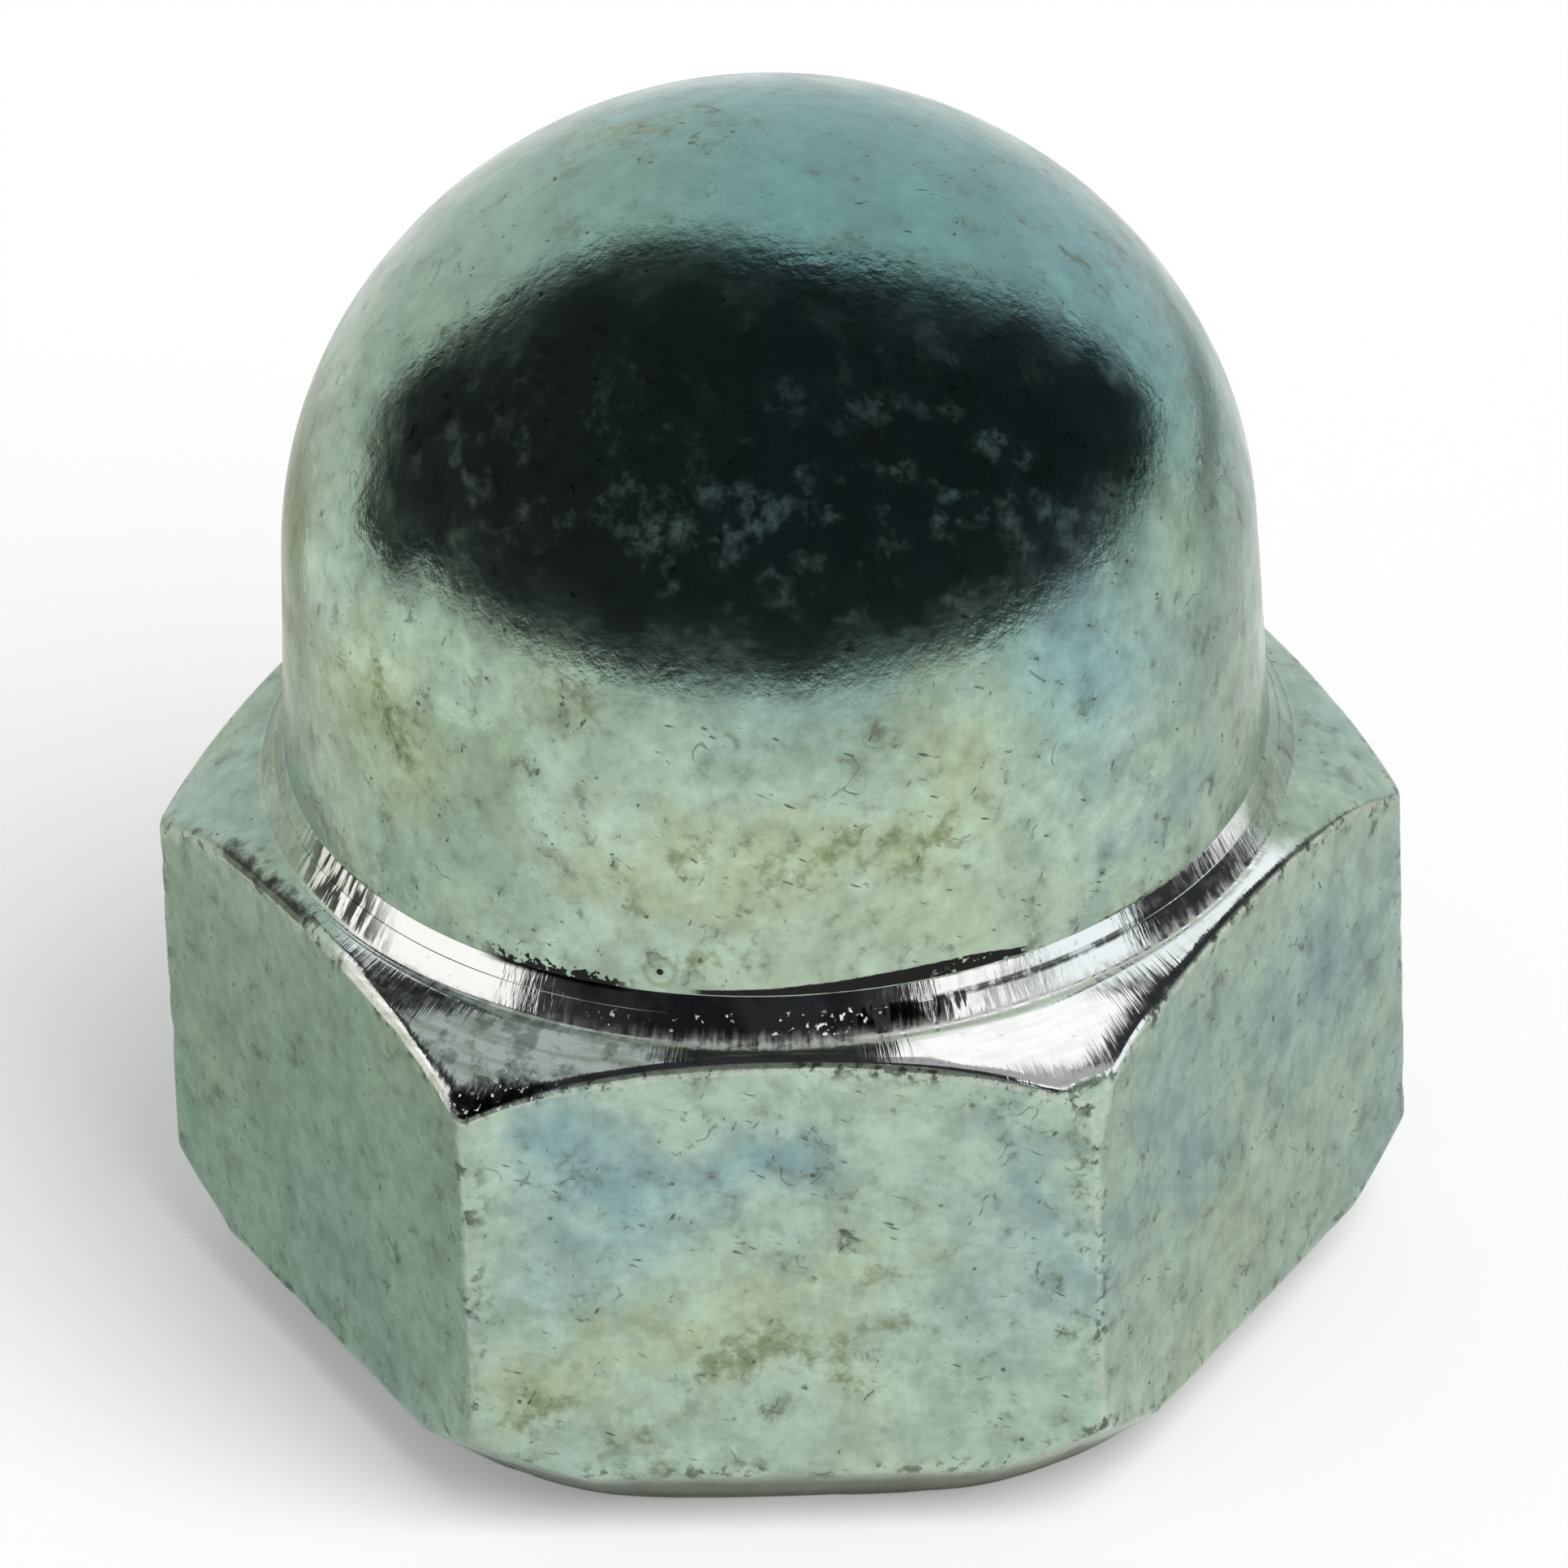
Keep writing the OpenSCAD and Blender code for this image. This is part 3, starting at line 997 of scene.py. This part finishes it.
def lip_teeth(n, at):
    """The torn lower edge of the film over the left half of the cap's lip."""
    torn = n.between(n.uneven(n.product(at.grain, 0.6), at.fine, 0.5), 0.46, 0.66, *TORN_EDGE)
    below = n.between(n.math("SUBTRACT", at.height, torn), 0.02, 0.0)
    above_foot = n.between(at.height, *TEETH_FOOT)
    return n.product(below, above_foot, n.within(at.across, *TEETH_ENDS))


def cracks(n, at):
    """The darkest marks: the lap, the torn lip and the dot in the blister."""
    front = n.between(at.depth, *FRONT_SIDE)
    edges = n.product(n.most(lap_line(n, at), lip_teeth(n, at)), front)
    return n.most(edges, n.between(blister(n, at), *BLISTER_DOT))


def bright_specks(n, at, bare, painted_dark_reflection):
    """Specks of bright zinc in the painted dark reflection of the left corner and in the painted dark
    middle of the flare.
    """
    in_dark_reflection = n.product(painted_dark_reflection, n.between(at.across, *FLECKS_LEFT), n.between(at.fine, 0.61, 0.66))
    rarer = n.between(at.across, *SPECKS_RARE, 0.0, 0.05)
    specks = n.between(n.math("SUBTRACT", at.fine, rarer), 0.59, 0.64)
    specks = n.product(specks, n.between(at.smear, 0.48, 0.54), bare, at.flare, at.below_step)
    return n.most(in_dark_reflection, n.product(specks, n.within(at.across, *SPECKS_ENDS)))


def matt_share(n, at, bare, worn, grime_and_shade, specks):
    """How far the surface is matt instead of metallic: scuffs, the hexagon's film, the worn ring with
    its painted highlight, and the olive grime with painted shade round the foot.
    """
    film = n.inverse(bare)
    on_dome = n.within(at.height, *SCUFFED)
    scuffs = n.product(n.between(at.pebble, 0.44, 0.7), n.between(at.cloud, 0.45, 0.62), film)
    scuffs = n.product(scuffs, n.uneven(0.08, on_dome, 0.18))
    low_film = n.product(n.between(at.height, *MATT_TOP, 0.0, 0.25), film)
    return n.most(scuffs, low_film, n.product(worn, 0.7), n.product(grime_and_shade, 0.9), specks)


def plate_bump(n, at, bare):
    """Fine unevenness: orange peel in the film and streaks in the bare zinc."""
    peel = n.uneven(at.cloud, at.grain, 0.6)
    peel_strength = n.between(at.height, *BUMP_TOP, 0.8, 0.55)
    bump = n.add("ShaderNodeBump")
    n.set(bump.inputs["Strength"], n.blend(bare, peel_strength, 0.35))
    n.set(bump.inputs["Distance"], BUMP_DEPTH * MM)
    n.set(bump.inputs["Height"], n.blend(bare, peel, n.product(at.streak, 1.2)))
    return bump.outputs[0]


def zinc_plate(f):
    """Zinc plate with a green film, dark marks, worn rims and bright turned zinc on flare and bevel,
    with painted dark reflections on flare, bevel and left corner, a painted highlight on the ring at
    the flare's foot, and painted shade round the foot and over the turned film.
    """
    material = bpy.data.materials.new("zinc_plate")
    n = Shader(material)
    at = Surface(n)
    bare = bare_zinc(n, at)
    # The worn ring with a painted highlight, on bare zinc only
    worn = n.product(bare, worn_and_highlight_ring(n, at))
    # Painted shade with an olive grime tint, darkening the foot
    grime_and_shade = foot_grime_and_shade(n, at)
    # Painted dark reflection at the left corner, on turned zinc only
    painted_dark_reflection = marked(n, "painted_dark_reflection", n.uneven(-0.8, at.grain, 1.6), 0.95)
    painted_dark_reflection = n.product(painted_dark_reflection, n.between(at.turned, 0.3, 0.6))
    specks = bright_specks(n, at, bare, painted_dark_reflection)

    colour = n.mix(bare, film_colour(n, at, f), zinc_colour(n, at, worn, f))
    colour = n.mix(at.inside, colour, f.inside)
    colour = n.mix(nicks(n, at, bare), colour, f.scar)
    # Painted shade and grime at the foot
    colour = n.mix(grime_and_shade, colour, f.grime_and_shade)
    # Painted dark reflection at the left corner, in the crack colour
    colour = n.mix(painted_dark_reflection, colour, f.crack_and_dark_reflection)
    colour = n.mix(cracks(n, at), colour, f.crack_and_dark_reflection)
    colour = n.mix(specks, colour, f.bare)

    hazy = n.between(at.cloud, 0.35, 0.65, f.film_rough - 0.03, f.film_rough + 0.05)
    clean = n.between(at.grain, 0.4, 0.7, f.bare_rough, f.bare_rough + 0.1)
    rough = n.uneven(n.blend(bare, hazy, clean), n.most(worn, grime_and_shade), 0.3)

    surface = n.add("ShaderNodeBsdfPrincipled")
    n.set(surface.inputs["Base Color"], colour)
    n.set(surface.inputs["Metallic"], n.inverse(matt_share(n, at, bare, worn, grime_and_shade, specks)))
    n.set(surface.inputs["Roughness"], rough)
    n.set(surface.inputs["Normal"], plate_bump(n, at, bare))
    n.add("ShaderNodeOutputMaterial", surface.outputs[0])
    return material


class CAPNUT_OT_forge(bpy.types.Operator):
    """Forge the nut: spin a blank, press the hexagon, tap the hole and plate it"""

    bl_idname = "capnut.forge"
    bl_label = "Forge Cap Nut"
    bl_options = {"REGISTER", "UNDO"}

    def execute(self, context):
        sizes = context.scene.cap_nut_sizes
        bm = spin_blank(sizes)
        press_hexagon(bm, sizes)
        blunt_corner(bm, sizes)
        dent_faces(bm, sizes)
        nut = new_object("domed_nut", bm)
        cut_thread(nut, make_tap(sizes))
        mark_hole(nut, sizes)
        mark_film(nut)
        nut.data.shade_smooth()
        nut.data.set_sharp_from_angle(angle=SHARP_ANGLE)
        nut.data.materials.clear()
        nut.data.materials.append(zinc_plate(context.scene.cap_nut_finish))
        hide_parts(NODE)
        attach(nut, BODY)
        return {"FINISHED"}


# The studio: a pale floor, a board behind, low cards at both sides, and one soft key light.
# The metal mirrors the cards, which the camera doesn't see. Places and lengths are in millimetres.
FLOOR_SIZE = 3000
FLOOR_HEIGHT = -0.02
# The board's depth and its outline across and up
BOARD_DEPTH = 200
BOARD = ((-320, 0), (310, 0), (310, 400), (110, 600), (-120, 350), (-300, 220))
# The side cards' distance across, and their outlines from front to back and up
SIDE_OUT = 14.25
LEFT_LOW = ((-14, 5.6), (0.2, 5.6), (1.0, 6.0), (2.3, 6.4), (3.2, 5.3), (4, 5.2), (4, 11), (-14, 11))
LEFT_HIGH = ((-14, 11), (4, 11), (4, 16), (-14, 16))
RIGHT = ((-7.5, 7), (-14, 7), (-14, 16), (-7.5, 16))
WARM = (0.75, 0.76, 0.67)
WHITE = (1, 1, 1)
SOFT_WHITE = (1, 1, 0.97)
SOFT_WHITE_GLOW = 1.05
DARK_OUT = -150
DARK = ((-5, 2), (60, 2), (60, 28), (-5, 28))
# Level cards over the nut, which look down: left, right, front and back ends, colour and strength
GLOW_HEIGHT = 14.2
GLOWS = (
    ("right_glow", (2.6, 8.6, -6, -9.7), WHITE, 1.1),
    ("right_rim_glow", (2.6, 12, -9.7, -13), WHITE, 0.4),
    ("flare_glow", (7.0, 13, -13, -17), WHITE, 1.08),
    ("left_glow", (-9.8, -2.6, -6, -10.0), (0.38, 0.43, 0.41), 1.0),
)
# Painted shadows: round darker patches on the floor that only the metal mirrors, standing in for the
# nut's shadow: across, depth, height, reach and colour
PAINTED_SHADOWS = (
    ("left_near_painted_shadow", -14.5, -1, 0.05, 17, (0.39, 0.47, 0.42)),
    ("left_far_painted_shadow", -34, 22, 0.1, 34, (0.46, 0.46, 0.37)),
    ("right_near_painted_shadow", 15.5, -1.5, 0.15, 15, (0.64, 0.67, 0.66)),
    ("right_far_painted_shadow", 30, 16, 0.2, 24, (0.66, 0.68, 0.67)),
    ("right_back_painted_shadow", 66, 55, 0.25, 48, (0.34, 0.34, 0.33)),
)
# Share of a painted shadow's reach over which it keeps its full colour
PAINTED_SHADOW_CORE = 0.25
# Where the room turns dark above level, as the upward part of a direction
ROOM_DARK = (0.03, 0.06)
ROOM_LOW = (0.9, 0.9, 0.9)
KEY_FROM = (0.45, -0.4, 0.8)
SENSOR = 36
CLIP = (0.01, 10)


def card(name, corners, material, glossy_only=True):
    """Makes a flat card for the stage."""
    bm = bmesh.new()
    bm.faces.new([bm.verts.new(Vector(corner) * MM) for corner in corners])
    obj = new_object(name, bm)
    obj.data.materials.append(material)
    if glossy_only:
        obj.visible_camera = False
        obj.visible_diffuse = False
        obj.visible_shadow = False


def level_card(name, left, right, front, back, height, material, glossy_only=True):
    """Makes a level card that looks up, or down if its front and back are swapped."""
    ends = ((left, front), (right, front), (right, back), (left, back))
    card(name, [(x, y, height) for x, y in ends], material, glossy_only)


def side_card(name, across, outline, material):
    """Makes an upright card at one side of the nut."""
    card(name, [(across, y, z) for y, z in outline], material)


def clear_where(n, factor, shader):
    """Ends a material in a shader that turns clear as a factor goes to 1."""
    clear = n.add("ShaderNodeBsdfTransparent")
    both = n.add("ShaderNodeMixShader", factor, shader.outputs[0], clear.outputs[0])
    n.add("ShaderNodeOutputMaterial", both.outputs[0])


def glowing(name, colour, strength=1.0):
    """Material of a card that gives off its own light on its front, and is clear from behind."""
    material = bpy.data.materials.new(name)
    n = Shader(material)
    glow = n.add("ShaderNodeEmission", (*colour, 1.0), strength)
    clear_where(n, n.add("ShaderNodeNewGeometry").outputs["Backfacing"], glow)
    return material


def painted_shadow_patch(name, x, y, height, reach, colour):
    """Lays a painted shadow on the floor: a round darker patch with a soft rim, which only the metal
    mirrors.
    """
    material = bpy.data.materials.new(name)
    n = Shader(material)
    metres = n.add("ShaderNodeTexCoord").outputs["Object"]
    away = n.vector("DISTANCE", metres, (x * MM, y * MM, 0), output="Value")
    patch = n.add("ShaderNodeEmission", (*colour, 1.0), 1.0)
    clear_where(n, n.between(away, PAINTED_SHADOW_CORE * reach * MM, reach * MM), patch)
    level_card(name, x - reach, x + reach, y - reach, y + reach, height, material)


def floor_paper(st):
    """Pale matt paper that reaches white where no shadow falls, and is clear from below."""
    material = bpy.data.materials.new("floor_paper")
    n = Shader(material)
    path = n.add("ShaderNodeLightPath").outputs
    seen = n.most(path["Is Camera Ray"], path["Is Glossy Ray"], path["Is Transmission Ray"])
    matt = n.add("ShaderNodeBsdfDiffuse", (*st.floor, 1.0))
    lift = n.add("ShaderNodeEmission", (*WHITE, 1.0), n.product(seen, st.glow))
    paper = n.add("ShaderNodeAddShader", matt.outputs[0], lift.outputs[0])
    clear_where(n, n.add("ShaderNodeNewGeometry").outputs["Backfacing"], paper)
    return material


def studio_world(st):
    """Even fill light. The camera sees white, and the metal sees a dark room over a white floor."""
    world = bpy.data.worlds.new("studio")
    n = Shader(world)
    path = n.add("ShaderNodeLightPath").outputs
    direction = n.add("ShaderNodeTexCoord").outputs["Generated"]
    height = n.add("ShaderNodeSeparateXYZ", direction).outputs[2]
    room = n.mix(n.between(height, *ROOM_DARK), ROOM_LOW, st.dark)
    colour = n.mix(path["Is Glossy Ray"], (st.fill, st.fill, st.fill), room)
    colour = n.mix(path["Is Camera Ray"], colour, WHITE)
    background = n.add("ShaderNodeBackground", colour, 1.0)
    n.add("ShaderNodeOutputWorld", background.outputs[0])
    return world


def put(name, data, turn):
    """Makes an object of a light or a camera and turns it."""
    obj = bpy.data.objects.new(name, data)
    obj.rotation_mode = "QUATERNION"
    obj.rotation_quaternion = turn
    bpy.context.scene.collection.objects.link(obj)
    return obj


def key_light(st):
    """One soft light from the front right, which the metal doesn't mirror."""
    lamp = bpy.data.lights.new("key_light", "SUN")
    lamp.energy = st.sun
    lamp.angle = st.sun_spread
    obj = put("key_light", lamp, Vector(KEY_FROM).to_track_quat("Z", "Y"))
    obj.visible_glossy = False


def camera(st):
    """The camera of the photograph's view."""
    lens = bpy.data.cameras.new("camera")
    lens.lens = st.lens
    lens.sensor_width = SENSOR
    lens.clip_start, lens.clip_end = CLIP
    level = math.cos(st.elevation)
    back = Vector((math.sin(st.azimuth) * level, -math.cos(st.azimuth) * level, math.sin(st.elevation)))
    turn = (-back).to_track_quat("-Z", "Y") @ Matrix.Rotation(st.roll, 3, "Z").to_quaternion()
    obj = put("camera", lens, turn)
    obj.location = Vector((st.aim_x, 0, st.aim_z)) + back * st.distance
    bpy.context.scene.camera = obj


class CAPNUT_OT_stage(bpy.types.Operator):
    """Set up the floor, the cards, the light and the camera"""

    bl_idname = "capnut.stage"
    bl_label = "Set Up Studio"
    bl_options = {"REGISTER", "UNDO"}

    def execute(self, context):
        st = context.scene.cap_nut_studio
        ends = (-FLOOR_SIZE, FLOOR_SIZE, -FLOOR_SIZE, FLOOR_SIZE)
        level_card("floor", *ends, FLOOR_HEIGHT, floor_paper(st), glossy_only=False)
        board = glowing("board", st.backdrop)
        card("backdrop", [(x, BOARD_DEPTH, z) for x, z in BOARD], board)
        side_card("left_card", -SIDE_OUT, LEFT_LOW, glowing("warm_board", WARM))
        soft_white = glowing("white_board", SOFT_WHITE, SOFT_WHITE_GLOW)
        side_card("left_high_card", -SIDE_OUT, LEFT_HIGH, soft_white)
        side_card("right_card", SIDE_OUT, RIGHT, board)
        side_card("dark_card", DARK_OUT, DARK, glowing("dark", st.dark))
        for name, ends, colour, strength in GLOWS:
            level_card(name, *ends, GLOW_HEIGHT, glowing(name, colour, strength))
        # Painted shadows on the floor, for the metal to mirror
        for painted_shadow in PAINTED_SHADOWS:
            painted_shadow_patch(*painted_shadow)
        key_light(st)
        context.scene.world = studio_world(st)
        camera(st)
        context.scene.view_settings.view_transform = "Standard"
        return {"FINISHED"}


class CAPNUT_PT_panel(bpy.types.Panel):
    """The nut's sizes, finish and studio"""

    bl_label = "Cap Nut"
    bl_idname = "CAPNUT_PT_panel"
    bl_space_type = "VIEW_3D"
    bl_region_type = "UI"
    bl_category = "Cap Nut"

    def draw(self, context):
        for operator in OPERATORS:
            self.layout.operator(operator.bl_idname)
        for group in GROUPS:
            settings = getattr(context.scene, group)
            box = self.layout.box()
            for name in settings.__annotations__:
                box.prop(settings, name)


GROUPS = {"cap_nut_sizes": NutSizes, "cap_nut_finish": NutFinish, "cap_nut_studio": StudioSetup}
OPERATORS = (CAPNUT_OT_forge, CAPNUT_OT_stage)
CLASSES = (*GROUPS.values(), *OPERATORS, CAPNUT_PT_panel)


def register():
    for cls in CLASSES:
        bpy.utils.register_class(cls)
    for name, group in GROUPS.items():
        setattr(bpy.types.Scene, name, PointerProperty(type=group))


def unregister():
    for name in GROUPS:
        delattr(bpy.types.Scene, name)
    for cls in reversed(CLASSES):
        bpy.utils.unregister_class(cls)


def main():
    register()
    bpy.ops.capnut.forge()
    bpy.ops.capnut.stage()


if __name__ == "__main__":
    main()
